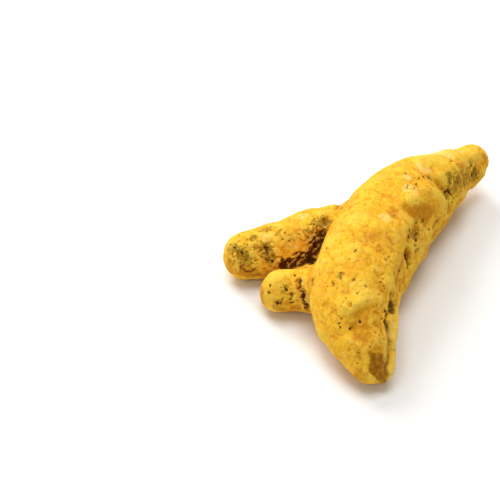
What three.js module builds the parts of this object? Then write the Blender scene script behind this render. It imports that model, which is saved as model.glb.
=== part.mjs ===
// A dried turmeric rhizome, as one solid.
//
// A fat, bent body tapers into an upper arm at one end and a lower arm at the other. A side finger
// and a small round bud grow from its left flank. The root grew as one piece, so it is one mesh.
//
// Each limb is a spine curve with a radius along it. The limbs are blended into one distance field,
// a marching-cubes grid finds its surface, and the underside is flattened where it touches the table.
// Millimetres, +Z up, +X right towards the upper arm's end, +Y away along the body.

import * as THREE from 'three';
import { MarchingCubes } from 'three/addons/objects/MarchingCubes.js';
import { ImprovedNoise } from 'three/addons/math/ImprovedNoise.js';
import { mergeVertices } from 'three/addons/utils/BufferGeometryUtils.js';

// Driving dimensions, in millimetres.
const CELL = 1.4; // edge of one grid cell
const GRID_CELLS = 58; // cells along each edge of the cubic grid
const GRID_CENTRE = new THREE.Vector3(0, -2, 9);
const MAX_TRIANGLES = 13000; // room kept for the grid's surface
const LUMP_HEIGHT = 0.6; // swellings and hollows of the dried skin
const LUMP_LENGTH = 8.5;
const REST_DEPTH = 0.5; // how far the lowest bulges are pressed flat on the table
const SPINE_STEPS = 5; // spine samples between two stations
const RELAX_PASSES = 4; // passes that even out the triangles
const MERGE_GAP = 1e-3; // vertices closer than this are one

// A station of a limb is a point on its spine and the limb's radius there.
const station = (x, y, z, radius) => ({ point: new THREE.Vector3(x, y, z), radius });

// The body, from the end of the upper arm to the end of the lower arm.
const BODY = {
  fillet: 0,
  stations: [
    station(26, 28.3, 8.7, 3.8),
    station(22, 24.7, 8.4, 4.9),
    station(17.5, 20, 8.5, 6.6),
    station(13.3, 16, 8.8, 8),
    station(7.7, 9, 9.6, 9.3),
    station(2.5, -1.3, 10.2, 9.3),
    station(-1.3, -9.3, 10, 8.9),
    station(-3.3, -16.6, 9.7, 8.7),
    station(-3.2, -22.8, 8.6, 7.7),
    station(-2, -28, 6.8, 6.2),
    station(-0.8, -32.6, 4.5, 4),
  ],
};

// The swollen right flank, which gives the body its outline between the two arms.
const FLANK = {
  fillet: 2.5,
  stations: [
    station(18, 18.3, 6.5, 3.4),
    station(14.3, 11.6, 6.5, 4.2),
    station(10.2, 4.5, 6.5, 4.3),
    station(6.9, -3, 6.5, 4.1),
    station(4.8, -9.6, 6.5, 3.5),
    station(4.2, -14.8, 6.5, 1.8),
  ],
};

// The knuckle where the upper arm leaves the body.
const KNUCKLE = {
  fillet: 3,
  stations: [
    station(10.2, 7.6, 14, 3.8),
    station(12.9, 7.7, 12, 3.2),
  ],
};

// The lip beside the split that runs down the right of the lower arm.
const LIP = {
  fillet: 1,
  stations: [
    station(4.4, -18, 7.5, 1.6),
    station(3.3, -25.2, 6.5, 1.6),
    station(2.7, -29.8, 5, 1.6),
    station(1.6, -32.8, 3.9, 1.8),
  ],
};

// The thick side finger that lies to the left.
const SIDE_FINGER = {
  fillet: 1.2,
  stations: [
    station(-5.6, 3.2, 7.6, 6.5),
    station(-11, 3, 6.4, 6.1),
    station(-16.3, 0.8, 6, 5.6),
    station(-21.2, -0.8, 5.8, 5.4),
    station(-24.5, -1.4, 5.6, 5.1),
  ],
};

// The small round bud in front of the side finger.
const BUD = {
  fillet: 0.8,
  stations: [
    station(-10, -12.7, 6, 4.8),
    station(-13.5, -12.1, 5.4, 4.3),
    station(-17.3, -11.9, 5, 4.5),
  ],
};

// The tissue that fills the crotch between the side finger, the bud and the body.
const WEB = {
  fillet: 1,
  stations: [
    station(-8, -5, 3.8, 3.2),
    station(-13, -6, 3.4, 2.7),
    station(-15.6, -6.4, 3.2, 2.3),
  ],
};

const LIMBS = [BODY, FLANK, KNUCKLE, LIP, SIDE_FINGER, BUD, WEB];

// Cuts a limb's spine into short tapered segments.
function tapersOf({ stations }) {
  const spine = new THREE.CatmullRomCurve3(stations.map((s) => s.point));
  const thickness = new THREE.SplineCurve(stations.map((s, i) => new THREE.Vector2(i, s.radius)));
  const steps = (stations.length - 1) * SPINE_STEPS;
  const points = spine.getPoints(steps);
  const radii = thickness.getPoints(steps).map((p) => p.y);
  return points.slice(1).map((end, i) => {
    const start = points[i];
    const axis = end.clone().sub(start);
    return { start, axis, lengthSq: axis.lengthSq(), from: radii[i], to: radii[i + 1] };
  });
}

// Signed distance from a point to a limb, negative inside.
function limbDistance(tapers, p) {
  let nearest = Infinity;
  for (const { start, axis, lengthSq, from, to } of tapers) {
    const x = p.x - start.x;
    const y = p.y - start.y;
    const z = p.z - start.z;
    const along = THREE.MathUtils.clamp((x * axis.x + y * axis.y + z * axis.z) / lengthSq, 0, 1);
    const gap = Math.hypot(x - along * axis.x, y - along * axis.y, z - along * axis.z);
    nearest = Math.min(nearest, gap - THREE.MathUtils.lerp(from, to, along));
  }
  return nearest;
}

// Joins two distances with a fillet of about the given size.
function joined(a, b, fillet) {
  const overlap = Math.max(fillet - Math.abs(a - b), 0);
  return Math.min(a, b) - (fillet > 0 ? overlap * overlap / (4 * fillet) : 0);
}

const limbs = LIMBS.map((limb) => ({ fillet: limb.fillet, tapers: tapersOf(limb) }));
const noise = new ImprovedNoise();

// Signed distance from a point to the whole root, with its lumps.
function rootDistance(p) {
  const smooth = limbs.reduce((d, limb) => joined(d, limbDistance(limb.tapers, p), limb.fillet), Infinity);
  const lump = noise.noise(p.x / LUMP_LENGTH, p.y / LUMP_LENGTH, p.z / LUMP_LENGTH);
  return smooth - LUMP_HEIGHT * lump;
}

// Direction in which the distance grows fastest.
function outward(p) {
  const step = CELL / 10;
  const here = rootDistance(p);
  const probe = new THREE.Vector3();
  return new THREE.Vector3(
    rootDistance(probe.copy(p).setX(p.x + step)) - here,
    rootDistance(probe.copy(p).setY(p.y + step)) - here,
    rootDistance(probe.copy(p).setZ(p.z + step)) - here,
  ).normalize();
}

// Marching-cubes surface of the distance field.
function fieldSurface() {
  const grid = new MarchingCubes(GRID_CELLS, undefined, false, false, MAX_TRIANGLES);
  grid.isolation = 0;
  const half = GRID_CELLS / 2;
  const p = new THREE.Vector3();
  for (let k = 0; k < GRID_CELLS; k++) {
    for (let j = 0; j < GRID_CELLS; j++) {
      for (let i = 0; i < GRID_CELLS; i++) {
        p.set(i - half, j - half, k - half).multiplyScalar(CELL).add(GRID_CENTRE);
        grid.setCell(i, j, k, -rootDistance(p));
      }
    }
  }
  grid.update();
  const positions = grid.positionArray.slice(0, grid.count * 3);
  const surface = new THREE.BufferGeometry();
  surface.setAttribute('position', new THREE.BufferAttribute(positions, 3));
  surface.scale(half * CELL, half * CELL, half * CELL);
  surface.translate(...GRID_CENTRE);
  return mergeVertices(surface, MERGE_GAP);
}

// Moves each vertex to the middle of its neighbours and back onto the surface.
function relax(surface) {
  const position = surface.getAttribute('position');
  const corners = surface.index.array;
  const neighbours = Array.from({ length: position.count }, () => new Set());
  for (let i = 0; i < corners.length; i += 3) {
    for (let j = 0; j < 3; j++) {
      neighbours[corners[i + j]].add(corners[i + (j + 1) % 3]);
      neighbours[corners[i + j]].add(corners[i + (j + 2) % 3]);
    }
  }
  const moved = neighbours.map((around) => {
    const middle = new THREE.Vector3();
    around.forEach((n) => middle.add(new THREE.Vector3().fromBufferAttribute(position, n)));
    middle.divideScalar(around.size);
    return middle.addScaledVector(outward(middle), -rootDistance(middle));
  });
  moved.forEach((p, i) => position.setXYZ(i, p.x, p.y, p.z));
}

// Presses everything within REST_DEPTH of the lowest point up into one plane, the table's.
function flattenUnderside(surface) {
  surface.computeBoundingBox();
  const table = surface.boundingBox.min.z + REST_DEPTH;
  const position = surface.getAttribute('position');
  for (let i = 0; i < position.count; i++) {
    position.setZ(i, Math.max(position.getZ(i), table));
  }
}

// Puts the middle of the box's underside at the origin.
function standOnOrigin(geometry) {
  geometry.computeBoundingBox();
  const { min, max } = geometry.boundingBox;
  geometry.translate(-(min.x + max.x) / 2, -(min.y + max.y) / 2, -min.z);
  geometry.computeVertexNormals();
}

const surface = fieldSurface();
for (let pass = 0; pass < RELAX_PASSES; pass++) relax(surface);
flattenUnderside(surface);
standOnOrigin(surface);

const skin = new THREE.MeshStandardMaterial({ color: 0xe2a833, roughness: 0.9, metalness: 0 });
const turmericRoot = new THREE.Mesh(surface, skin);
turmericRoot.name = 'turmeric_root';

const root = new THREE.Group();
root.add(turmericRoot);

export default root;
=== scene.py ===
"""The looks of one dried turmeric rhizome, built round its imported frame.

The rhizome grew as one piece, so it is one mesh. A copy of the frame's solid is made fine, then the skin's
forms are pushed into it: ridges and hollows, the split beside its lip, the scars at the bases of the bud and
the side finger, pits and wrinkles. Each form also marks the skin near it, and the skin's material reads the
marks. Places are in millimetres in the frame's own axes, and those of paths, patches and spots are moved to
the nearest point of the surface.
"""

import logging
import math
import random
from collections.abc import Iterable, Sequence
from dataclasses import dataclass, field
from enum import Enum
from typing import Any, Protocol

import bmesh
import bpy
import numpy as np
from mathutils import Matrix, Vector, noise
from mathutils.kdtree import KDTree


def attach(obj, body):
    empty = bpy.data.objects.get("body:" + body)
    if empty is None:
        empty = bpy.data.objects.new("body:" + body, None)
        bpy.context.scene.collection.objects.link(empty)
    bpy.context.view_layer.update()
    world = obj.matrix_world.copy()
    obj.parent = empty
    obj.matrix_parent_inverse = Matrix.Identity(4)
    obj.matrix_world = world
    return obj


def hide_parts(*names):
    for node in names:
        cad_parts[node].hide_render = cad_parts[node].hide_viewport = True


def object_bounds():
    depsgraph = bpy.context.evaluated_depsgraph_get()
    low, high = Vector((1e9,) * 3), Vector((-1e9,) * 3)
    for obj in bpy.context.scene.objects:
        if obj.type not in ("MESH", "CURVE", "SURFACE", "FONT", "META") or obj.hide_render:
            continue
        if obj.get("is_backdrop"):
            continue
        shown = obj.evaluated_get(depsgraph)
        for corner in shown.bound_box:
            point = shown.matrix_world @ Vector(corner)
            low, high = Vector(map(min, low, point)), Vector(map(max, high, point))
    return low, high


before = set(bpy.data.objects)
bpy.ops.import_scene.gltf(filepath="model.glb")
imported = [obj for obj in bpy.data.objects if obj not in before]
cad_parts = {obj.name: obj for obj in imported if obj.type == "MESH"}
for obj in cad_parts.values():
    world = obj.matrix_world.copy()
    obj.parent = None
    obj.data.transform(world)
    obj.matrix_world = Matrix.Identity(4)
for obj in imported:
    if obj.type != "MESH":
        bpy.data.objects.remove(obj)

LOG = logging.getLogger("turmeric")
MM = 0.001
NODE = "turmeric_root"
BODY = "root"
BACK_FACING = -0.3  # a point whose normal agrees less than this with a path's is on another side
REACH_ROOM = 1.5  # noise is sampled this many reaches out, past where any ragged edge can stray
SEED_STEP = 17.3  # how far one seed moves a pattern, in ripples

Place = tuple[float, float, float]


class Mark(Enum):
    """A kind of mark on the skin, stored as a vertex attribute that the material reads."""

    DARK = "dark"  # earth, and painted shade in splits, scars, pits, the crotch and under the bud and the side finger
    FIBRE = "fibre"  # bare tan fibres and worn pale rims
    OLIVE = "olive"  # old grey-green skin
    PALE = "pale"  # rubbed patches under a coat of powder, and painted highlight on the split's lip
    SPECK = "speck"  # where the small dark specks crowd together
    AMBER = "amber"  # deeper orange skin with less powder on it; partly painted shade on undersides and the arm's front
    HOLLOW = "hollow"  # below the skin around it, where the colour is deeper: partly its own colour, partly painted shade
    CREST = "crest"  # above the skin around it, or under thick powder, so it is bright: partly painted highlight


# ------------------------------------------------------------------------------------------------
# The surface that the forms work on


def smooth_falloff(ratio: np.ndarray) -> np.ndarray:
    """Gives 1 at a ratio of 0, falling smoothly to 0 at a ratio of 1 and beyond.

    Args:
        ratio: Distances divided by a reach.

    Returns:
        The weights, one for each ratio.
    """
    inside = np.clip(1.0 - ratio * ratio, 0.0, 1.0)
    return inside * inside


def smooth_step(low: float, high: float, values: np.ndarray) -> np.ndarray:
    """Rises smoothly from 0 at low to 1 at high.

    Args:
        low: Value where the rise starts.
        high: Value where it ends.
        values: Values to look up.

    Returns:
        The weights, one for each value.
    """
    t = np.clip((values - low) / (high - low), 0.0, 1.0)
    return t * t * (3.0 - 2.0 * t)


class Skin:
    """A fine mesh as arrays in millimetres, with helpers to push it about and to mark it."""

    def __init__(self, mesh: bpy.types.Mesh) -> None:
        """Reads a mesh.

        Args:
            mesh: The fine mesh, in metres.
        """
        self.mesh = mesh
        self.points = np.empty((len(mesh.vertices), 3))
        self.normals = np.empty_like(self.points)
        self.marks = {mark: np.zeros(len(mesh.vertices)) for mark in Mark}
        flat = np.empty(self.points.size, dtype=np.float32)
        mesh.vertices.foreach_get("co", flat)
        self.points[:] = flat.reshape(-1, 3) / MM
        self.refresh()

    def refresh(self) -> None:
        """Writes the points to the mesh, then reads its normals and indexes its points again."""
        self.mesh.vertices.foreach_set("co", (self.points * MM).astype(np.float32).ravel())
        self.mesh.update()
        flat = np.empty(self.points.size, dtype=np.float32)
        self.mesh.vertex_normals.foreach_get("vector", flat)
        self.normals[:] = flat.reshape(-1, 3)
        self.tree = KDTree(len(self.points))
        for index, point in enumerate(self.points):
            self.tree.insert(point, index)
        self.tree.balance()

    def nearest(self, place: Sequence[float]) -> int:
        """Gives the index of the point nearest to a place."""
        return self.tree.find(place)[1]

    def distances(self, path: Sequence[Place]) -> tuple[np.ndarray, np.ndarray]:
        """Measures every point's distance to a path laid on the surface.

        Args:
            path: Places along the path, at least one.

        Returns:
            Each point's distance in millimetres, and how far along the path it lies, from 0 to 1. A point
            on another side of the rhizome is infinitely far off.
        """
        knots = [self.nearest(place) for place in path]
        spots = self.points[knots]
        gap = np.full(len(self.points), np.inf)
        along = np.zeros(len(self.points))
        facing = np.ones(len(self.points))
        last = max(len(spots) - 2, 0)
        for i in range(last + 1):
            start = spots[i]
            step = spots[min(i + 1, len(spots) - 1)] - start
            t = np.clip((self.points - start) @ step / max(step @ step, 1e-9), 0.0, 1.0)
            here = np.linalg.norm(self.points - start - t[:, None] * step, axis=1)
            closer = here < gap
            gap[closer] = here[closer]
            along[closer] = (i + t[closer]) / (last + 1)
            facing[closer] = self.normals[closer] @ self.normals[knots[i]]
        gap[facing < BACK_FACING] = np.inf
        return gap, along

    def push(self, height: np.ndarray) -> None:
        """Moves every point along its normal by its own height in millimetres."""
        self.points += self.normals * height[:, None]

    def mark(self, kind: Mark, strength: np.ndarray) -> None:
        """Raises one kind of mark to a strength, up to 1, where it is weaker than that."""
        self.marks[kind] = np.clip(np.maximum(self.marks[kind], strength), 0.0, 1.0)

    def ripple(self, length: float, seed: float, near: np.ndarray | None = None,
               stretch: Sequence[float] = (1, 1, 1)) -> np.ndarray:
        """Samples smooth noise over the points.

        Args:
            length: Size of the ripples in millimetres.
            seed: Shifts the pattern, so that two calls differ.
            near: True for each point to sample, or None for all of them. The others stay 0.
            stretch: Scales the pattern's frequency along each axis.

        Returns:
            Values from about -1 to 1, one for each point.
        """
        values = np.zeros(len(self.points))
        chosen = np.ones(len(values), dtype=bool) if near is None else near
        scaled = self.points[chosen] * (np.asarray(stretch) / length) + seed * SEED_STEP
        values[chosen] = np.fromiter((noise.noise(p) for p in scaled), dtype=float, count=len(scaled))
        return values

    def levelled(self, passes: int) -> np.ndarray:
        """Gives the points as they would lie with the small forms smoothed away."""
        ends = np.empty(len(self.mesh.edges) * 2, dtype=np.int32)
        self.mesh.edges.foreach_get("vertices", ends)
        first, second = ends.reshape(-1, 2).T
        count = np.bincount(ends, minlength=len(self.points))[:, None]
        level = self.points
        for _ in range(passes):
            total = np.zeros_like(level)
            np.add.at(total, first, level[second])
            np.add.at(total, second, level[first])
            level = total / count
        return level

    def mark_relief(self, passes: int, full: float) -> None:
        """Marks the small hollows and crests, partly painted shade and painted highlight in the material.

        Args:
            passes: How many times the skin is levelled before it is compared.
            full: Depth or height in millimetres at which a mark is full.
        """
        sunk = ((self.levelled(passes) - self.points) * self.normals).sum(axis=1)
        sunk -= np.median(sunk)
        self.mark(Mark.HOLLOW, sunk / full)
        self.mark(Mark.CREST, -sunk / full)

    def store(self) -> None:
        """Writes the points and the marks to the mesh."""
        self.refresh()
        for kind, values in self.marks.items():
            layer = self.mesh.attributes.new(kind.value, "FLOAT", "POINT")
            layer.data.foreach_set("value", values.astype(np.float32))


class Form(Protocol):
    """Something that shapes or marks the skin."""

    def work(self, skin: Skin) -> None:
        """Shapes or marks the skin."""


# ------------------------------------------------------------------------------------------------
# Forms


@dataclass(frozen=True)
class Swell:
    """A ridge along a path, or a hollow where the height is negative. At no height it only marks the skin."""

    path: Sequence[Place]
    reach: float
    height: float
    wander: float = 0.15  # how much its edge strays, as a share of the reach
    mark: Mark | None = None
    strength: float = 1.0

    def work(self, skin: Skin) -> None:
        """Raises or sinks the skin along the path, and marks it."""
        gap, _ = skin.distances(self.path)
        near = gap < REACH_ROOM * self.reach
        stray = 1.0 + self.wander * skin.ripple(self.reach * 0.9, self.height + self.reach, near)
        weight = smooth_falloff(gap / (self.reach * stray))
        skin.push(weight * self.height)
        if self.mark:
            skin.mark(self.mark, weight * self.strength)


@dataclass(frozen=True)
class Facet:
    """A flat where the limb's end dried off or was broken off."""

    centre: Place
    normal: Place
    reach: float
    firm: float = 0.6  # share of the reach inside which the flat is pressed fully

    def work(self, skin: Skin) -> None:
        """Presses what stands past the plane back onto it."""
        axis = np.asarray(self.normal) / np.linalg.norm(self.normal)
        offset = skin.points - np.asarray(self.centre)
        past = offset @ axis
        fade = smooth_step(self.reach, self.firm * self.reach, np.linalg.norm(offset, axis=1))
        weight = fade * (past > 0)
        skin.points -= (past * weight)[:, None] * axis


@dataclass(frozen=True)
class Split:
    """A crack in the dried skin, with dark earth and painted shade in it."""

    path: Sequence[Place]
    width: float
    depth: float
    dark: float = 1.0  # how dark it is inside
    stray: float = 0.22  # how far its line strays, in millimetres
    uneven: float = 0.35  # how much its width varies, as a share of the width
    narrow: float = 0.55  # its width at the ends, as a share of the width

    def work(self, skin: Skin) -> None:
        """Opens the crack, which narrows towards its ends and strays a little."""
        gap, along = skin.distances(self.path)
        near = gap < REACH_ROOM * self.width + 0.5
        taper = np.sqrt(np.clip(np.sin(np.pi * np.clip(along, 0.06, 0.94)), 0.0, 1.0))
        gap = gap + self.stray * skin.ripple(1.3, 2.0, near)
        half = self.width / 2 * (self.narrow + (1.0 - self.narrow) * taper)
        half *= 1.0 + self.uneven * skin.ripple(2.2, 9.0, near)
        wall = smooth_falloff(np.clip(gap, 0.0, None) / (half * 1.5))
        skin.push(-self.depth * wall)
        skin.mark(Mark.DARK, self.dark * smooth_step(0.25, 0.7, wall))


@dataclass(frozen=True)
class RingScar:
    """The groove round the base of a bud, with a torn rim on the body's side."""

    centre: Place
    axis: Place  # points from the body to the bud
    reach: float
    width: float
    depth: float
    stray: float = 0.6  # how far the groove strays from its plane, in millimetres
    tear: float = 0.35  # how far its edges are torn, in millimetres

    def work(self, skin: Skin) -> None:
        """Cuts the groove, raises the rim beside it, and blotches it with earth."""
        axis = np.asarray(self.axis) / np.linalg.norm(self.axis)
        offset = skin.points - np.asarray(self.centre)
        fade = smooth_step(self.reach, self.reach * 0.7, np.linalg.norm(offset, axis=1))
        near = fade > 0
        torn = skin.ripple(0.8, 6.0, near)
        along = offset @ axis + self.stray * skin.ripple(1.8, 5.0, near) + self.tear * torn
        groove = smooth_falloff(along / self.width) * fade
        rim = smooth_falloff((along + self.width * 1.25) / (self.width * 0.8)) * fade
        skin.push(-self.depth * groove * (1.0 + 0.4 * torn) + 0.3 * self.depth * rim * (0.7 + 0.5 * torn))
        blotch = groove * (0.7 + 0.9 * skin.ripple(0.9, 14.0, near))
        skin.mark(Mark.DARK, smooth_step(0.25, 0.8, blotch))
        skin.mark(Mark.OLIVE, groove)
        skin.mark(Mark.FIBRE, rim * smooth_step(-0.3, 0.4, torn))
        skin.mark(Mark.SPECK, smooth_falloff(along / (self.width * 3)) * fade)


@dataclass(frozen=True)
class Fibres:
    """Torn fibrous tissue: strands that lie side by side along one direction."""

    path: Sequence[Place]
    reach: float
    direction: Place
    strand: float  # width of one strand
    height: float
    dark: float  # how dark the ground between the strands is
    tan: float  # how bare the strands are
    ragged: float = 0.3  # how far the edge strays, as a share of the reach
    drawn: float = 0.7  # how much the pattern is drawn out along the strands, 1 being without end

    def work(self, skin: Skin) -> None:
        """Raises the strands, and marks them and the ground between them."""
        gap, _ = skin.distances(self.path)
        near = gap < REACH_ROOM * self.reach
        gap = gap + self.ragged * self.reach * skin.ripple(self.reach * 0.7, 3.0, near)
        weight = smooth_falloff(gap / self.reach)
        axis = np.asarray(Vector(self.direction).normalized())
        along = skin.points @ axis
        stray = 0.6 * self.strand * skin.ripple(1.1, 12.0, near)
        across = (skin.points + stray[:, None] - along[:, None] * axis * self.drawn)[near]
        wave = np.zeros(len(gap))
        wave[near] = [noise.noise(p) for p in across / self.strand]
        strands = smooth_step(0.0, 0.3, wave)
        skin.push(self.height * weight * (strands - 0.5))
        edge = smooth_step(0.12, 0.45, weight)
        skin.marks[Mark.DARK] *= 1.0 - edge * strands * self.tan
        skin.mark(Mark.DARK, self.dark * edge * (1.0 - strands))
        skin.mark(Mark.FIBRE, self.tan * edge * smooth_step(0.35, 0.9, strands))


@dataclass(frozen=True)
class Rough:
    """Coarse, veined skin: small lumps with dark creases between them."""

    path: Sequence[Place]
    reach: float
    length: float  # size of the lumps
    height: float
    dark: float = 0.5  # how dark the creases are
    olive: float = 4.0  # the skin beside them is this many times more olive than they are dark, up to 1

    def work(self, skin: Skin) -> None:
        """Raises the lumps and darkens the creases."""
        gap, _ = skin.distances(self.path)
        near = gap < REACH_ROOM * self.reach
        ragged = gap / self.reach + 0.25 * skin.ripple(self.reach * 0.5, 7.0, near)
        weight = smooth_step(1.0, 0.5, ragged)
        lump = np.abs(skin.ripple(self.length, 3.0, near) + 0.35 * skin.ripple(self.length * 0.4, 8.0, near))
        skin.push(self.height * weight * (smooth_step(0.0, 0.35, lump) - 0.6))
        crease = smooth_step(0.09, 0.0, lump) * weight
        skin.mark(Mark.DARK, self.dark * crease)
        skin.mark(Mark.OLIVE, min(1.0, self.olive * self.dark) * weight * smooth_step(0.25, 0.05, lump))


@dataclass(frozen=True)
class Patch:
    """A patch of differently coloured skin with a ragged edge."""

    kind: Mark
    place: Place
    reach: float
    strength: float = 1.0

    def work(self, skin: Skin) -> None:
        """Marks the patch."""
        gap, _ = skin.distances([self.place])
        near = gap < REACH_ROOM * self.reach
        ragged = gap / self.reach + 0.45 * skin.ripple(self.reach * 0.6, self.place[0], near)
        skin.mark(self.kind, self.strength * smooth_step(1.0, 0.35, ragged))


@dataclass(frozen=True)
class Plate:
    """A plate of skin with straight edges, worn or coloured in its own way."""

    corners: Sequence[Place]
    marks: Sequence[tuple[Mark, float]]
    soft: float = 0.5  # how far the edge fades
    thin: float = 2.5  # how far off its own plane the plate still marks the skin fully
    thick: float = 4.0  # how far off it marks the skin at all

    def work(self, skin: Skin) -> None:
        """Marks the points whose places, laid flat on the plate's plane, fall inside its outline."""
        spots = np.asarray(self.corners, dtype=float)
        middle = spots.mean(axis=0)
        across = np.linalg.svd(spots - middle)[2]
        flat = (skin.points - middle) @ across.T
        edge = (spots - middle) @ across.T
        turns = np.zeros(len(flat))
        gap = np.full(len(flat), np.inf)
        for start, end in zip(edge, np.roll(edge, -1, axis=0)):
            step = (end - start)[:2]
            offset = flat[:, :2] - start[:2]
            t = np.clip(offset @ step / (step @ step), 0.0, 1.0)
            gap = np.minimum(gap, np.linalg.norm(offset - t[:, None] * step, axis=1))
            left = step[0] * offset[:, 1] - step[1] * offset[:, 0] > 0
            rises = (start[1] <= flat[:, 1]) & (end[1] > flat[:, 1]) & left
            falls = (start[1] > flat[:, 1]) & (end[1] <= flat[:, 1]) & ~left
            turns += rises.astype(float) - falls
        near = (turns != 0) | (gap < 2.0 * self.soft)
        inward = np.where(turns != 0, gap, -gap) + 0.5 * self.soft * skin.ripple(1.4, middle[0], near)
        level = smooth_step(self.thick, self.thin, np.abs(flat[:, 2]))
        for kind, strength in self.marks:
            skin.mark(kind, strength * level * smooth_step(-self.soft, self.soft, inward))


@dataclass(frozen=True)
class Scatter:
    """Patches of one kind strewn over the whole rhizome."""

    kind: Mark
    count: int
    smallest: float
    largest: float
    strength: float
    seed: int

    def work(self, skin: Skin) -> None:
        """Marks the patches."""
        draw = random.Random(self.seed)
        for _ in range(self.count):
            place = tuple(skin.points[draw.randrange(len(skin.points))])
            Patch(self.kind, place, draw.uniform(self.smallest, self.largest), self.strength).work(skin)


class Dents:
    """Small dark dents, gathered before they are sunk so that two in one place do not add up."""

    LONG = (1.1, 2.6)  # least and most length over width
    DEEP = (0.4, 0.8)  # least and most depth over half the width
    HALO = 2.0  # how far the stain round a dent goes, in its own sizes

    def __init__(self, skin: Skin, seed: int) -> None:
        """Starts with no dents.

        Args:
            skin: The skin to sink them in.
            seed: Fixes each dent's own shape.
        """
        self.skin = skin
        self.draw = random.Random(seed)
        self.height = np.zeros(len(skin.points))
        self.dark = np.zeros(len(skin.points))
        self.halo = np.zeros(len(skin.points))

    def add(self, index: int, radius: float, shade: float) -> None:
        """Adds a dent with its own length, direction and depth.

        Args:
            index: The point at its middle.
            radius: Half its width in millimetres.
            shade: How dark it is, from 0 to 1.
        """
        turn = Vector([self.draw.gauss(0, 1) for _ in range(3)])
        normal = Vector(self.skin.normals[index])
        grain = (turn - turn.dot(normal) * normal).normalized()
        long = self.draw.uniform(*self.LONG)
        depth = radius * self.draw.uniform(*self.DEEP)
        middle = Vector(self.skin.points[index])
        for spot, near, _ in self.skin.tree.find_range(middle, radius * long * self.HALO):
            offset = spot - middle
            length = offset.dot(grain)
            across = (offset - length * grain).length + 0.3 * radius * noise.noise(spot * 2.5)
            ratio = math.hypot(length / long, across) / radius
            self.halo[near] = max(self.halo[near], shade * (1.0 - ratio / self.HALO))
            if ratio < 1.0:
                fall = (1.0 - ratio * ratio) ** 2
                self.height[near] = min(self.height[near], -depth * fall)
                self.dark[near] = max(self.dark[near], shade * min(1.0, fall * 1.5))

    def sink(self) -> None:
        """Pushes the dents in and marks them."""
        self.skin.push(self.height)
        self.skin.mark(Mark.DARK, self.dark)
        self.skin.mark(Mark.OLIVE, self.halo)


@dataclass(frozen=True)
class Spots:
    """Dents at known places."""

    places: Sequence[tuple[Place, float]]
    shade: float = 0.9

    def work(self, skin: Skin) -> None:
        """Sinks the dents."""
        dents = Dents(skin, 5)
        for place, radius in self.places:
            dents.add(skin.nearest(place), radius, self.shade)
        dents.sink()


@dataclass(frozen=True)
class Pits:
    """Small dents strewn about, crowded together where the skin is marked for specks."""

    count: int
    smallest: float
    largest: float
    seed: int
    skew: float = 1.6  # above 1, small pits outnumber large ones
    stray_share: float = 0.1  # chance of a pit where the skin isn't marked for specks
    shades: tuple[float, float] = (0.15, 0.75)

    def work(self, skin: Skin) -> None:
        """Sinks the pits."""
        dents = Dents(skin, self.seed)
        made = 0
        while made < self.count:
            index = dents.draw.randrange(len(skin.points))
            radius = self.smallest * (self.largest / self.smallest) ** (dents.draw.random() ** self.skew)
            chance = self.stray_share + (1.0 - self.stray_share) * skin.marks[Mark.SPECK][index]
            if dents.draw.random() < chance:
                dents.add(index, radius, dents.draw.uniform(*self.shades))
                made += 1
        dents.sink()


@dataclass(frozen=True)
class Texture:
    """The uneven skin: soft lumps, wrinkles and a fine grain, over the whole rhizome."""

    # Each layer of lumps has its size and its height.
    lumps: Sequence[tuple[float, float]] = ((5.2, 0.34), (2.6, 0.17), (1.25, 0.06), (0.62, 0.035))
    wrinkle_length: float = 2.0
    wrinkle_height: float = 0.1

    def work(self, skin: Skin) -> None:
        """Pushes the lumps and the wrinkles into the skin."""
        height = np.zeros(len(skin.points))
        for i, (length, rise) in enumerate(self.lumps):
            height += rise * skin.ripple(length, i + 20.0)
        crease = np.abs(skin.ripple(self.wrinkle_length, 31.0, stretch=(1.0, 0.6, 1.0)))
        height -= self.wrinkle_height * smooth_step(0.16, 0.0, crease)
        skin.push(height)


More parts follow.
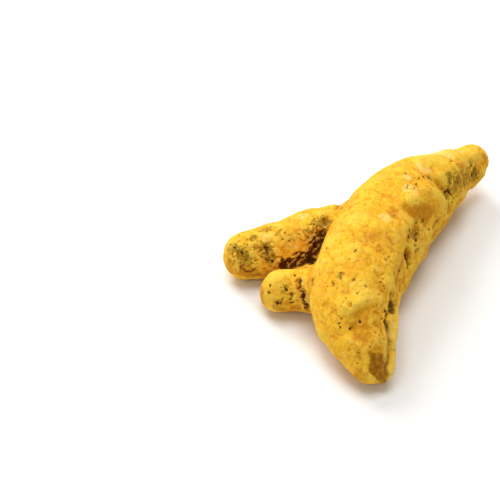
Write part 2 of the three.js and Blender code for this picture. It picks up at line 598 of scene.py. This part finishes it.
def turmeric_forms() -> dict[str, list[Form]]:
    """Lists the rhizome's forms by the part of it they are on.

    Returns:
        The forms in the order they are worked.
    """
    return {
        "body": [
            Swell([(-5.5, 1, 15.4), (-2, -4.6, 18.4), (2.2, -5.5, 18.2), (5.6, -5, 17.2)], 3.6, 0.3),
            Swell([(-5.5, -8.5, 16), (-1, -10, 18), (4, -10, 16.5)], 4.0, -0.3,
                  mark=Mark.AMBER, strength=0.2),
            Swell([(8.4, -1, 16.2), (5.8, -7, 16), (4.4, -13, 14.6), (3, -18.6, 14)], 2.8, 0.35),
            Swell([(8.6, -4, 14.4), (7.8, -7.5, 12.6), (6.6, -11, 11.5), (5.4, -15, 11)], 1.8, -0.55,
                  mark=Mark.SPECK, strength=0.7),
            Swell([(13.4, 1.6, 11), (12, -1.5, 9.5), (10.4, -4.4, 8.4), (8.2, -9, 7.6)], 2.4, 0.4),
        ],
        "crater": [
            Swell([(7.9, -6.6, 13.2), (8.4, -7, 11.2), (8.4, -8, 9.6)], 1.9, 0.35),
            Swell([(7.9, -6.9, 12.6), (8.4, -7.2, 10.6)], 1.5, -1.6, mark=Mark.AMBER),
            Swell([(7.8, -6, 11), (7.8, -6.5, 10.2), (8.3, -7.2, 9.6)], 0.9, -0.4, 0.5, Mark.DARK, 0.6),
            Spots([((8.1, -6.8, 12.2), 0.6), ((8.4, -7.6, 10.2), 0.55)], 0.7),
            Split([(7.5, -7, 13.3), (7.9, -7.4, 11.8), (8.2, -8, 10.2), (8, -8.3, 9.4)], 0.85, 0.6, 0.7),
        ],
        "knuckle": [
            Swell([(9.6, 3.6, 17.6), (12.6, 7, 17), (15.4, 8.4, 15), (16.8, 9, 12)], 3.4, 0.7),
            Swell([(9, 0.6, 16.8), (10.8, 1.6, 15.4), (12.4, 2.3, 13.2)], 3.0, -0.5, mark=Mark.AMBER),
            Swell([(10.4, -1.4, 14), (10, -2.4, 13.2)], 2.4, -0.5, mark=Mark.OLIVE, strength=0.9),
            Plate([(8.6, 2.2, 17.4), (12, 4.8, 16.2), (14.2, 6, 13.6), (15, 6.4, 11.6), (12.2, 1.4, 13.4),
                   (9.6, -0.4, 16)], [(Mark.AMBER, 1.0), (Mark.OLIVE, 0.3)], 0.9),
            Rough([(10.6, -1.2, 14), (11.4, 1.6, 13.6)], 2.2, 1.3, 0.25),
            Plate([(8.8, -2.2, 16.2), (11, 0, 14), (11.2, -2.4, 12.2), (9, -5, 12.6)],
                  [(Mark.AMBER, 0.9), (Mark.DARK, 0.15)], 0.8),
            Swell([(16.4, 12.6, 14.6), (17.9, 12.8, 12.4), (18.3, 11.5, 9)], 2.0, -0.8, mark=Mark.SPECK),
            Swell([(14.6, 5, 9.6), (15.8, 7, 9.4)], 1.4, -0.4, mark=Mark.SPECK, strength=0.8),
        ],
        "upper_arm": [
            Swell([(26.2, 28, 12), (23.8, 25.7, 12.3), (20.6, 20.6, 13.8), (17, 15.6, 15)], 2.8, 0.55),
            Swell([(25.4, 24.2, 8.4), (22.5, 19.3, 10), (19.4, 15, 11.6)], 3.0, -0.7, mark=Mark.SPECK),
            Swell([(27.6, 26.6, 7), (26.4, 25, 5.6)], 2.6, 0.7, mark=Mark.OLIVE, strength=0.5),
            Swell([(22, 15.6, 6.6), (19.4, 11, 6.4), (16.6, 6, 6)], 3.0, -0.5),
            Swell([(14, 19.5, 15.6), (17, 23, 14.4), (19.4, 25.4, 13.2)], 4.6, 0.75),
            Plate([(17.1, 14.8, 13.9), (20.5, 19.4, 14.2), (23.4, 22.6, 11.6), (27, 26, 8), (24, 20, 7.6),
                   (18.9, 12, 9.3)], [(Mark.OLIVE, 0.75)], 1.2),
            Rough([(25.6, 24.4, 9), (23, 21, 10.4), (20.4, 17.6, 12.4), (18.6, 14, 11.4)], 2.8, 1.5, 0.3),
            Patch(Mark.AMBER, (28.4, 29, 9.6), 2.2, 0.8),
            Patch(Mark.AMBER, (21.4, 20.6, 13.4), 2.2, 0.9),
            Split([(18.4, 14, 12.4), (19.4, 14.4, 10.6), (19.2, 13.6, 9)], 0.4, 0.35),
        ],
        "lower_arm": [
            Swell([(-5.8, -24.2, 14), (-2.7, -24.5, 14.7), (0.8, -23.4, 14.5)], 2.8, 0.45),
            # The lower arm's front face below the ledge is deeper orange, partly its rind, partly painted
            # shade.
            Swell([(-5, -27.6, 12), (-1.5, -28, 12), (1, -27.4, 11.8)], 2.8, -0.4,
                  mark=Mark.AMBER, strength=0.8),
            Swell([(-2.4, -30.2, 9.8), (-0.4, -31, 9), (1.6, -30.4, 8.6)], 1.6, 0.25),
            Facet((-1, -27.6, 11.6), (-0.14, -0.62, 0.77), 5.0),
            Rough([(-3.4, -27, 12.2), (-0.8, -27.4, 12), (0.6, -29, 10)], 2.8, 1.7, 0.16, 0.12),
            # Deeper orange over the front face: partly rind, partly painted shade.
            Plate([(-5.2, -26, 13), (0.9, -25, 13.6), (1.7, -27.2, 11.4), (1.2, -30.4, 8.2),
                   (-1.8, -31, 8.8), (-4, -27.8, 11.4)], [(Mark.AMBER, 0.6)], 0.7),
            Swell([(-9.4, -18.4, 8), (-8.8, -22.4, 7.4), (-7, -27, 6)], 3.6, 0.6),
            Facet((0.3, -32.2, 6.4), (0.35, -0.7, 0.62), 4.4),
            Plate([(-1.4, -31.3, 8.5), (1.6, -30.6, 7.7), (2.7, -32.6, 4.2), (1.4, -34.2, 2),
                   (-1.7, -33.4, 5)], [(Mark.AMBER, 1.0), (Mark.OLIVE, 0.6), (Mark.DARK, 0.45)], 0.6),
        ],
        "split": [
            Swell([(6.4, -18, 7), (5.8, -22, 6.4), (5, -27, 5)], 3.0, -0.6),
            # The split's lip is raised and marked pale: partly rubbed rind, partly painted highlight.
            Swell([(5.1, -17, 9.5), (4.7, -19.4, 8.4), (4, -24.8, 9), (3.5, -27.6, 7.8), (3.4, -29.5, 5.7),
                   (2.9, -31.8, 4), (1.6, -33, 3)], 1.3, 0.7, mark=Mark.PALE, strength=1.0),
            Swell([(2.2, -25.6, 11.8), (1.8, -27.3, 10.6), (2, -29, 8.8), (1.9, -31, 6.8), (2, -32.6, 4.8)],
                  0.6, 0.25, mark=Mark.FIBRE, strength=0.75),
            Swell([(4, -19.4, 12), (3.9, -21, 10.8), (3.2, -22.6, 11.2)], 1.9, -0.9, mark=Mark.OLIVE),
            Swell([(3.9, -19.9, 10.4), (3.6, -20.8, 9.8), (3.2, -21.8, 10)], 1.5, -0.3, 0.5, Mark.DARK, 0.66),
            Rough([(4.1, -19.2, 11), (3.6, -21, 9.9)], 1.8, 0.7, 0.35, 0.75),
            Swell([(2.4, -25.2, 11.6), (2.6, -28, 8.8), (2.6, -30.4, 6.4), (2.2, -32.4, 5)], 1.5, -0.2,
                  0.4, Mark.OLIVE, 1.0),
            Split([(3.9, -19.6, 12), (3.7, -21.2, 10.6), (2.7, -24.4, 11.8), (2.2, -26.2, 11.4),
                   (2.6, -28, 8.8), (2.7, -29.6, 7), (2.5, -31, 5.8), (2.2, -32.4, 5)], 1.0, 1.2, 0.5),
            Spots([((3.8, -20.2, 11.8), 0.8), ((3.5, -21.4, 10.6), 0.9), ((2.4, -24.4, 12.2), 0.6),
                   ((2.6, -29.3, 7.2), 0.55), ((3.6, -20.4, 10.2), 0.5), ((3.2, -21.6, 10), 0.5),
                   ((2.8, -28.2, 8.2), 0.3), ((2.7, -30.2, 6.2), 0.34), ((2.5, -31.2, 5.3), 0.3)], 0.8),
        ],
        "bud": [
            RingScar((-13.2, -13.1, 6.2), (-1, -0.05, -0.3), 4.6, 0.9, 0.6),
            Fibres([(-13, -12.8, 7.4), (-12.6, -14.2, 6.6), (-12.2, -14.8, 5.2), (-12, -14.8, 4.2)], 1.3,
                   (1, 0.1, 0), 0.5, 0.35, 0.35, 0.7),
            Spots([((-19.9, -11.8, 7.8), 0.32), ((-20, -12.5, 6.6), 0.3), ((-16.5, -12.9, 7.6), 0.4),
                   ((-18.4, -13.9, 5), 0.5), ((-15.5, -13.9, 5.2), 0.42), ((-14.8, -10, 9), 0.35)]),
        ],
        # In the crotch the dark marks are earth and fibres, and painted shade deep in the crevices between
        # the body, the side finger and the bud.
        "crotch": [
            Swell([(-7.6, 3, 12), (-9.4, 0.8, 10), (-10, 0, 7.8), (-11.3, -1.6, 6)], 1.7, -1.2),
            Swell([(-8.8, 1.4, 10), (-9.4, 0.4, 8.6), (-10, -0.4, 7), (-11.3, -1.6, 6)], 1.5, 0.0,
                  0.3, Mark.DARK, 0.9),
            Swell([(-11.3, -1.6, 6), (-12.9, -1.6, 5.5), (-14.8, -2, 5.5), (-17.2, -2.6, 5)], 1.3, -0.9,
                  mark=Mark.DARK, strength=0.9),
            Fibres([(-8.6, 1.4, 9.8), (-9.2, 0.4, 8.2), (-9.6, -0.6, 6.8), (-10.2, -1.6, 5.6)], 2.0,
                   (0.7, 0.3, 0.6), 0.6, 0.5, 0.9, 0.55),
            Rough([(-8, 3.6, 12.8), (-9.6, 2.6, 12), (-11.3, 1.4, 10.8), (-12.8, 1, 10.4)], 2.2, 0.9, 0.35,
                  0.35),
            Fibres([(-8.2, 3.2, 12.6), (-9.6, 2, 11.4), (-10.8, 0.8, 10), (-11.6, -0.4, 8.6)], 1.8,
                   (0.5, 0.75, 0.4), 0.55, 0.5, 0.4, 0.8),
            Fibres([(-10.4, 0.4, 9), (-11.4, -0.9, 7.2), (-13.4, -1.6, 6.4), (-16.6, -2.4, 5.8)],
                   2.0, (0.7, 0.4, 0.5), 0.6, 0.5, 0.85, 0.7),
            Fibres([(-19.6, -2.6, 8), (-19.6, -2.8, 6.6), (-18.6, -2.8, 5.6)], 1.8, (0.5, 0.2, -0.8), 0.45,
                   0.35, 0.35, 0.5),
            Swell([(-5.6, 6.2, 12.6), (-4.8, 8.4, 10.5), (-4.6, 9.4, 7), (-5.4, 8.8, 3.6)], 1.1, -0.6,
                  mark=Mark.DARK, strength=0.5),
        ],
        "side_finger": [
            Rough([(-26.6, -2.2, 7.6), (-24.4, -3.2, 7.6), (-21, -2, 9), (-18.6, -2.4, 7)], 3.0, 1.5, 0.3),
            Rough([(-23, 1, 10.2), (-19.6, 3, 10.6), (-16.4, 0.6, 10.2)], 2.0, 1.4, 0.2, 0.3),
            Swell([(-25.2, -3.4, 7.8), (-24.2, -4, 6.2)], 1.8, -0.55, mark=Mark.OLIVE),
            Swell([(-21.6, -1.6, 9.6), (-20.4, -2.4, 8.4)], 1.6, -0.3, mark=Mark.OLIVE, strength=0.7),
            Plate([(-28.5, 0, 7.8), (-26.5, -0.3, 9.6), (-24.4, -2.2, 9.2), (-23, -3.8, 7), (-24.2, -4.3, 5),
                   (-27, -3.6, 5)], [(Mark.OLIVE, 0.6), (Mark.AMBER, 0.6)], 1.0),
            # Painted shade along the side finger's underside.
            Swell([(-26.6, -3.4, 4), (-23.6, -4.2, 3.8), (-21.4, -4, 3.6)], 2.2, 0.0, mark=Mark.AMBER),
            Split([(-25.8, -3.8, 5.8), (-24.9, -4.2, 4.9), (-23.4, -4.1, 4.8), (-22.6, -3.9, 5.8)], 0.35,
                  0.3, 0.55),
            Spots([((-25.1, -3.6, 7.6), 0.6), ((-24.3, -4, 6.3), 0.6), ((-25.6, -2.6, 8.6), 0.45),
                   ((-27, -1.3, 9), 0.4), ((-17.1, 0.2, 10.2), 0.3), ((-15.7, -0.1, 9.6), 0.35),
                   ((-20.4, -1.6, 9.2), 0.45), ((-20.2, -2.2, 8.4), 0.45), ((-19, -2.8, 6.6), 0.4)]),
        ],
        "loose_spots": [
            Spots([((-3.3, -22.8, 15.6), 0.3), ((-5.8, -23.3, 15), 0.24), ((1, -22.1, 14.9), 0.24),
                   ((-3, -26.9, 12.4), 0.42), ((-6.7, -27.2, 11), 0.24), ((-1, -30.8, 9.2), 0.26),
                   ((4.8, -14.7, 13), 0.32), ((4.9, -15.6, 12.2), 0.32), ((1.8, -18.2, 15.3), 0.26),
                   ((-6.1, -18, 16.5), 0.3), ((12.5, 12.1, 17.2), 0.34), ((14.1, 12.5, 16.2), 0.3),
                   ((10.7, 8.8, 17.9), 0.22), ((5.3, -1.9, 18), 0.24), ((-0.4, 1, 18.5), 0.24),
                   ((10.4, -2.2, 13.3), 0.5), ((10.2, -3, 12.7), 0.42), ((12.2, 2, 13.6), 0.4),
                   ((17.9, 13.2, 12), 0.6), ((18.2, 12, 10.6), 0.4), ((24.7, 24.4, 11), 0.36),
                   ((25.3, 24, 8.7), 0.5), ((23.6, 21.5, 9.6), 0.4), ((18.4, 15.8, 13.9), 0.45),
                   ((25.4, 24.8, 5), 0.4), ((15.5, 6.8, 9.4), 0.34)], 0.85),
        ],
    }


def turmeric_patches() -> list[Form]:
    """Lists the patches of differently coloured skin, of painted shade and painted highlight, and of crowded
    specks.

    Returns:
        The patches.
    """
    # Each kind has its strength, then its patches as place and reach.
    placed: dict[Mark, tuple[float, list[tuple[Place, float]]]] = {
        Mark.OLIVE: (1.0, [
            ((-6.3, -18.5, 16.4), 1.5), ((-11.5, -15, 12), 1.6), ((13.8, 13.1, 16.4), 1.6),
            ((18.6, 16, 13.8), 2.2), ((20.6, 18, 12), 2.2), ((24.4, 23.9, 11.3), 1.8),
            ((25.8, 24.2, 8.4), 2.6), ((17.9, 13, 11.6), 2.0), ((22.5, 19.5, 9), 2.6),
            ((-16.6, -12.8, 7.4), 1.6), ((-20.1, 3.1, 10.7), 1.6), ((-20.4, -1.8, 9), 2.4),
            ((-23.1, 0.4, 10.3), 1.8), ((-25.4, -2.6, 8.2), 3.0), ((-27.2, -0.6, 8.6), 2.2),
            ((4.8, -15, 13), 1.2), ((9.6, -3, 13.8), 2.0), ((-8.8, 3.1, 12.6), 1.6),
            ((-11.6, 1.6, 11), 1.4), ((3.8, -20, 12), 1.4), ((2.4, -29.6, 7), 1.2),
            ((-18.2, -13.6, 5), 1.4), ((-4.8, 5.5, 13.9), 1.4), ((-19.6, -2.7, 7.2), 2.2),
            ((-17, 6.5, 6), 2.4), ((-2, 12, 8), 2.2), ((8, 20, 6), 2.8), ((18, 30, 6), 2.0),
            ((-25, 3.5, 5), 2.2),
        ]),
        Mark.PALE: (1.0, [
            ((9.4, 6.2, 18.3), 3.0), ((3.4, -3, 18.3), 2.2), ((8.9, 10.2, 18.3), 2.0),
            ((15.3, 22.8, 14.7), 3.0), ((-4, -20.6, 16), 1.2), ((-13, 5.5, 11.8), 2.4),
            ((22, 27, 12), 1.8), ((-12.2, -14.6, 6), 1.4), ((-20.6, 0.4, 10.6), 1.8),
            ((5, 17, 10), 2.6), ((-14, 7.5, 8), 2.2), ((12.6, 15.6, 17), 3.4), ((18.4, 23.6, 14), 3.8),
            # Painted highlight on the split's lip.
            ((3.4, -27.6, 9.2), 1.8), ((4, -25.4, 9.6), 1.6),
        ]),
        Mark.SPECK: (1.0, [
            ((-20.4, -2.6, 8), 4.5), ((-25.5, -2, 8.4), 4.0), ((-16, -12.8, 7), 3.4),
            ((24, 22, 9), 4.5), ((18.5, 14, 12), 3.0), ((9.8, -2.8, 13.4), 2.6), ((9.4, 6, 18.2), 2.4),
            ((4.9, -15, 13), 2.4), ((3.4, -22, 11), 2.6), ((-9, 3, 12.5), 3.2),
            ((13.4, 12.4, 16.6), 2.2), ((-15.6, 0, 9.8), 2.4), ((0, 13, 9), 4.0), ((-20, 5.5, 7), 3.6),
            ((12, 24, 6), 4.0), ((-8, 9, 4), 3.0),
        ]),
        # Of these bright patches, those on the split's lip and low on the right flank are painted highlight.
        Mark.CREST: (0.8, [
            ((14, 19.6, 16), 6.0), ((18, 24, 14), 6.0), ((22.6, 29, 12), 4.0), ((-2, -3, 18.4), 3.6),
            ((-19.6, 0.6, 10.6), 3.0), ((-2.6, -22.4, 15.6), 3.6), ((11, -3.4, 8.4), 2.4),
            ((4.4, -22.6, 9.6), 1.8), ((3.6, -28.4, 7.4), 1.8), ((4.6, -26, 8.6), 1.8),
            ((-3, -12, 18), 3.0), ((-15.5, -0.2, 9.4), 2.4), ((-7.6, -7, 15.6), 3.4),
            ((10, -2, 9), 2.4),
        ]),
        Mark.AMBER: (0.85, [
            # The first six patches are painted shade on the undersides of the bud and the side finger.
            ((-20.6, -11, 5), 3.4), ((-17.4, -14.4, 3.4), 3.4), ((-14.6, -14.8, 3.2), 2.0),
            ((-24.6, -4.2, 3.8), 3.6), ((-20.6, -4, 3.8), 2.6), ((-27.6, -2.6, 5), 3.0),
            ((-2.4, -33.2, 4), 3.0), ((11.6, 2.6, 13), 2.6), ((5.4, 0, 18), 2.0),
            ((-3.4, -30.6, 8), 2.4), ((6.4, -13, 9), 2.4), ((-10, 8, 5), 3.0), ((2, 15, 5), 3.6),
            ((13, 26, 8), 2.8), ((-21, 5, 4), 2.6),
        ]),
    }
    patches: list[Form] = [
        Patch(kind, place, reach, strength)
        for kind, (strength, spots) in placed.items()
        for place, reach in spots
    ]
    return patches + [
        # Painted shade under the bud and under the side finger.
        Patch(Mark.DARK, (-18.4, -13.8, 3.2), 3.0, 0.36),
        Patch(Mark.DARK, (-23.6, -4.2, 4.2), 3.4, 0.38),
        Patch(Mark.OLIVE, (-9.6, 2.8, 12), 2.8, 0.9),
        Scatter(Mark.OLIVE, 24, 0.8, 2.4, 0.7, 3),
        Scatter(Mark.SPECK, 20, 1.5, 4.0, 0.7, 4),
        Scatter(Mark.PALE, 14, 1.0, 2.6, 0.7, 6),
        Scatter(Mark.AMBER, 14, 1.5, 3.5, 0.6, 8),
    ]


# ------------------------------------------------------------------------------------------------
# Materials


def linear(colour: str) -> tuple[float, float, float, float]:
    """Turns an sRGB hex colour to linear red, green, blue and alpha.

    Args:
        colour: Six hex digits, such as "f6c043".

    Returns:
        Four numbers from 0 to 1.
    """
    parts = [int(colour[i:i + 2], 16) / 255 for i in (0, 2, 4)]
    red, green, blue = (c / 12.92 if c <= 0.04045 else ((c + 0.055) / 1.055) ** 2.4 for c in parts)
    return red, green, blue, 1.0


def add_node(tree: bpy.types.NodeTree, kind: str, links: dict[Any, Any] | None = None,
             **settings: Any) -> bpy.types.Node:
    """Adds a node with its settings, and fills its inputs.

    Args:
        tree: The tree that the node goes into.
        kind: The node's type name.
        links: Input names or numbers, each with a socket to link or a value to set.
        **settings: Attributes of the node.

    Returns:
        The new node.
    """
    node = tree.nodes.new(kind)
    for name, value in settings.items():
        setattr(node, name, value)
    for key, value in (links or {}).items():
        if isinstance(value, bpy.types.NodeSocket):
            tree.links.new(value, node.inputs[key])
        else:
            node.inputs[key].default_value = value
    return node


def per_mm(length: float) -> float:
    """Gives the texture scale at which one feature is about this many millimetres across."""
    return 1.0 / (length * MM)


@dataclass(frozen=True)
class Coat:
    """One colour laid over the skin where its own cloudy pattern, helped by a mark, is strong enough."""

    colour: str
    size: float  # of the pattern's clouds, in millimetres
    threshold: float  # pattern and mark together where the colour is half there
    soft: float  # how far the colour fades to either side of the threshold
    most: float  # its share where it is full
    mark: Mark | None = None
    gain: float = 0.0  # how much a full mark adds to the pattern
    shift: float = 0.0  # moves the pattern, so that two coats differ

    def lay(self, tree: bpy.types.NodeTree, spot: bpy.types.NodeSocket,
            under: bpy.types.NodeSocket | tuple[float, ...]) -> bpy.types.NodeSocket:
        """Lays the coat over a colour.

        Args:
            tree: The material's tree.
            spot: The place on the rhizome.
            under: The colour underneath.

        Returns:
            The colour socket.
        """
        cloud = add_node(tree, "ShaderNodeTexNoise", {
            "Vector": spot, "W": self.shift, "Scale": per_mm(self.size), "Detail": 6.0, "Roughness": 0.74,
        }, noise_dimensions="4D").outputs["Fac"]
        if self.mark:
            marked = add_node(tree, "ShaderNodeAttribute", attribute_name=self.mark.value)
            cloud = add_node(tree, "ShaderNodeMath", {
                0: marked.outputs["Fac"], 1: self.gain, 2: cloud,
            }, operation="MULTIPLY_ADD").outputs[0]
        share = add_node(tree, "ShaderNodeMapRange", {
            "Value": cloud, "From Min": self.threshold - self.soft, "From Max": self.threshold + self.soft,
            "To Max": self.most,
        }, interpolation_type="SMOOTHSTEP").outputs["Result"]
        # The mix node's inputs share their names, so they are given by number: factor, then colours A and B.
        return add_node(tree, "ShaderNodeMix", {
            0: share, 6: under, 7: linear(self.colour),
        }, data_type="RGBA").outputs[2]


@dataclass(frozen=True)
class TurmericSkin:
    """Dried turmeric skin: a hard, matt, scaly rind under turmeric's own loose yellow powder.

    The powder hides the gloss and glows yellow where it lies thick. Rubbed places are deeper orange, old
    skin is grey-green, and earth stays brown in the pits. The colour deepens in the hollows, splits, crotch
    and undersides, partly as painted shade, and brightens on the crests and the split's lip, partly as
    painted highlight. Light falls off softly on it, with no glossy highlight.
    """

    powder: str = "f4ba2f"
    coats: tuple[Coat, ...] = (
        Coat("ea9a1e", 6.0, 0.53, 0.07, 0.50, shift=1.0),  # worn thin, over whole stretches
        Coat("f8b24e", 3.0, 0.56, 0.05, 0.55, shift=2.0),  # peach where the rind shows through
        Coat("f4c636", 1.9, 0.54, 0.05, 0.70, shift=3.0),  # thick powder
        Coat("d88a14", 0.9, 0.555, 0.05, 0.55, shift=4.0),  # fine dark mottling
        Coat("f6d650", 0.7, 0.565, 0.05, 0.45, shift=5.0),  # fine bright mottling
        Coat("c07a10", 0.45, 0.58, 0.05, 0.50, shift=15.0),  # the dark grains between the powder's
        Coat("c87c10", 1.2, 1.05, 0.40, 0.55, Mark.HOLLOW, 1.0, 6.0),  # deeper orange in the hollows, partly painted shade
        Coat("f5d456", 1.0, 1.10, 0.40, 0.45, Mark.CREST, 1.0, 7.0),  # bright on the crests: rubbed, partly painted highlight
        Coat("fbd474", 1.0, 0.93, 0.10, 0.70, Mark.PALE, 0.50, 8.0),  # rind rubbed pale, and painted highlight on the lip
        Coat("c97c0e", 1.3, 0.88, 0.14, 0.78, Mark.AMBER, 0.50, 9.0),  # orange rind with little powder; painted shade on undersides
        Coat("96600f", 0.6, 0.99, 0.05, 0.55, Mark.AMBER, 0.42, 16.0),  # dark grains in it
        Coat("a38324", 0.9, 0.80, 0.06, 0.70, Mark.OLIVE, 0.36, 10.0),  # old grey-green skin
        Coat("62480f", 0.8, 0.89, 0.035, 0.70, Mark.OLIVE, 0.36, 14.0),  # dark flecks in the olive skin
        Coat("a98a26", 0.9, 0.63, 0.025, 0.55, Mark.SPECK, 0.08, 11.0),  # the specks' halo
        Coat("5c4310", 0.9, 0.665, 0.02, 0.85, Mark.SPECK, 0.08, 11.0),  # the specks
        Coat("cda458", 0.8, 0.95, 0.25, 0.80, Mark.FIBRE, 1.0, 12.0),  # bare tan fibres
        Coat("46210e", 0.8, 1.05, 0.30, 0.93, Mark.DARK, 1.2, 13.0),  # earth, and painted shade in splits, pits, the crotch and undersides
    )
    grain_mm: float = 0.7  # the real powder is finer; drawn this coarse so that it shows
    grain_height_mm: float = 0.18
    roughness: float = 0.95
    specular: float = 0.1

    def make(self) -> bpy.types.Material:
        """Builds the material.

        Returns:
            The material.
        """
        material = bpy.data.materials.new("dried_turmeric_skin")
        material.use_nodes = True
        tree = material.node_tree
        tree.nodes.clear()
        spot = add_node(tree, "ShaderNodeTexCoord").outputs["Object"]
        colour = linear(self.powder)
        for coat in self.coats:
            colour = coat.lay(tree, spot, colour)
        shader = add_node(tree, "ShaderNodeBsdfPrincipled", {
            "Base Color": colour, "Roughness": self.roughness, "Specular IOR Level": self.specular,
            "Normal": self.grain(tree, spot),
        })
        add_node(tree, "ShaderNodeOutputMaterial", {"Surface": shader.outputs["BSDF"]})
        return material

    def grain(self, tree: bpy.types.NodeTree, spot: bpy.types.NodeSocket) -> bpy.types.NodeSocket:
        """Roughens the skin with grains too fine for the mesh.

        Args:
            tree: The material's tree.
            spot: The place on the rhizome.

        Returns:
            The normal socket.
        """
        grains = add_node(tree, "ShaderNodeTexNoise", {
            "Vector": spot, "Scale": per_mm(self.grain_mm), "Detail": 5.0, "Roughness": 0.7,
        })
        return add_node(tree, "ShaderNodeBump", {
            "Height": grains.outputs["Fac"], "Strength": 0.7, "Distance": self.grain_height_mm * MM,
        }).outputs["Normal"]


# ------------------------------------------------------------------------------------------------
# The rhizome


@dataclass
class Rhizome:
    """The whole root: the frame's solid made fine, worked and dressed."""

    divisions: int = 2  # each splits every face in four
    merge_gap_mm: float = 0.01
    skin: TurmericSkin = field(default_factory=TurmericSkin)
    texture: Texture = field(default_factory=Texture)
    pits: Pits = field(default_factory=lambda: Pits(420, 0.2, 0.5, 11))
    relief_passes: int = 14
    relief_full: float = 0.1

    def build(self) -> bpy.types.Object:
        """Makes the piece and sets it in the frame.

        Returns:
            The finished piece.
        """
        piece = bpy.data.objects.new("turmeric_rhizome", self.fine_copy())
        bpy.context.scene.collection.objects.link(piece)
        self.sculpt(piece.data)
        piece.data.materials.append(self.skin.make())
        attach(piece, BODY)
        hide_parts(NODE)
        LOG.info("%s: %d faces", piece.name, len(piece.data.polygons))
        return piece

    def fine_copy(self) -> bpy.types.Mesh:
        """Copies the frame's solid, joins its loose triangles and rounds it into a fine mesh.

        Returns:
            The fine mesh.
        """
        work = bmesh.new()
        work.from_mesh(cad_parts[NODE].data)
        bmesh.ops.remove_doubles(work, verts=work.verts[:], dist=self.merge_gap_mm * MM)
        coarse = bpy.data.meshes.new("coarse_rhizome")
        work.to_mesh(coarse)
        work.free()
        holder = bpy.data.objects.new("coarse_rhizome", coarse)
        bpy.context.scene.collection.objects.link(holder)
        rounding = holder.modifiers.new("rounding", "SUBSURF")
        rounding.levels = rounding.render_levels = self.divisions
        graph = bpy.context.evaluated_depsgraph_get()
        fine = bpy.data.meshes.new_from_object(holder.evaluated_get(graph))
        fine.name = "turmeric_rhizome"
        bpy.data.objects.remove(holder)
        bpy.data.meshes.remove(coarse)
        fine.materials.clear()
        fine.shade_smooth()
        return fine

    def sculpt(self, mesh: bpy.types.Mesh) -> None:
        """Works every form into the mesh.

        Args:
            mesh: The fine mesh.
        """
        surface = Skin(mesh)
        self.texture.work(surface)
        surface.refresh()
        for part, forms in turmeric_forms().items():
            for form in forms:
                form.work(surface)
            surface.refresh()
            LOG.info("%s: %d forms", part, len(forms))
        for patch in turmeric_patches():
            patch.work(surface)
        self.pits.work(surface)
        surface.refresh()
        surface.mark_relief(self.relief_passes, self.relief_full)
        surface.points[:, 2] = np.maximum(surface.points[:, 2], 0.0)  # nothing goes below the floor
        surface.store()


# ------------------------------------------------------------------------------------------------
# The studio


@dataclass(frozen=True)
class Lamp:
    """A soft square lamp."""

    name: str
    place: Place  # metres
    side: float
    watts: float
    colour: str = "ffffff"


@dataclass
class Studio:
    """A pale floor, soft lamps, and the camera."""

    aim_mm: Place = (-23.8, 8.3, 0.3)
    elevation: float = 40.0  # degrees that the camera looks down
    distance_mm: float = 298.6
    lens_mm: float = 100.0
    floor_side: float = 6.0
    floor_colour: str = "f7f7f6"
    sky_colour: str = "ffffff"
    sky_strength: float = 0.30
    lamps: Sequence[Lamp] = (
        Lamp("key_lamp", (-0.35, 0.62, 0.55), 0.5, 6.05),
        Lamp("top_lamp", (0.0, 0.1, 0.9), 0.6, 4.9),
        Lamp("side_lamp", (-0.6, -0.4, 0.35), 0.4, 0.8),
    )

    def camera(self) -> None:
        """Sets the camera, which looks down along the body from the lower arm's side."""
        aim = Vector(self.aim_mm) * MM
        angle = math.radians(self.elevation)
        back = Vector((0.0, -math.cos(angle), math.sin(angle)))
        data = bpy.data.cameras.new("camera")
        data.lens = self.lens_mm
        data.clip_start = 0.01
        camera = bpy.data.objects.new("camera", data)
        camera.location = aim + back * self.distance_mm * MM
        camera.rotation_euler = (-back).to_track_quat("-Z", "Y").to_euler()
        bpy.context.scene.collection.objects.link(camera)
        bpy.context.scene.camera = camera

    def light(self) -> None:
        """Hangs the lamps and lights the room."""
        scene = bpy.context.scene
        scene.view_settings.view_transform = "Standard"
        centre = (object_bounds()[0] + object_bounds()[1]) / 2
        for lamp in self.lamps:
            data = bpy.data.lights.new(lamp.name, "AREA")
            data.size = lamp.side
            data.energy = lamp.watts
            data.color = linear(lamp.colour)[:3]
            holder = bpy.data.objects.new(lamp.name, data)
            holder.location = lamp.place
            holder.rotation_euler = (centre - Vector(lamp.place)).to_track_quat("-Z", "Y").to_euler()
            scene.collection.objects.link(holder)
        world = bpy.data.worlds.new("room")
        world.use_nodes = True
        sky = world.node_tree.nodes["Background"]
        sky.inputs["Color"].default_value = linear(self.sky_colour)
        sky.inputs["Strength"].default_value = self.sky_strength
        scene.world = world

    def floor(self) -> None:
        """Lays the floor, a matt white sheet."""
        work = bmesh.new()
        bmesh.ops.create_grid(work, x_segments=1, y_segments=1, size=self.floor_side / 2)
        mesh = bpy.data.meshes.new("floor")
        work.to_mesh(mesh)
        work.free()
        sheet = bpy.data.materials.new("matt_white_sheet")
        sheet.use_nodes = True
        shader = sheet.node_tree.nodes["Principled BSDF"]
        shader.inputs["Base Color"].default_value = linear(self.floor_colour)
        shader.inputs["Roughness"].default_value = 0.9
        shader.inputs["Specular IOR Level"].default_value = 0.1
        mesh.materials.append(sheet)
        floor = bpy.data.objects.new("floor", mesh)
        bpy.context.scene.collection.objects.link(floor)
        floor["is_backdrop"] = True


def corners(box: Iterable[Vector]) -> list[list[float]]:
    """Turns a box's two corners into plain lists."""
    return [list(corner) for corner in box]


def main() -> None:
    """Builds the studio and the rhizome."""
    logging.basicConfig(level=logging.INFO, format="%(name)s: %(message)s")
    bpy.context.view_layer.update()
    studio = Studio()
    studio.camera()
    studio.light()
    studio.floor()
    Rhizome().build()


if __name__ == "__main__":
    main()
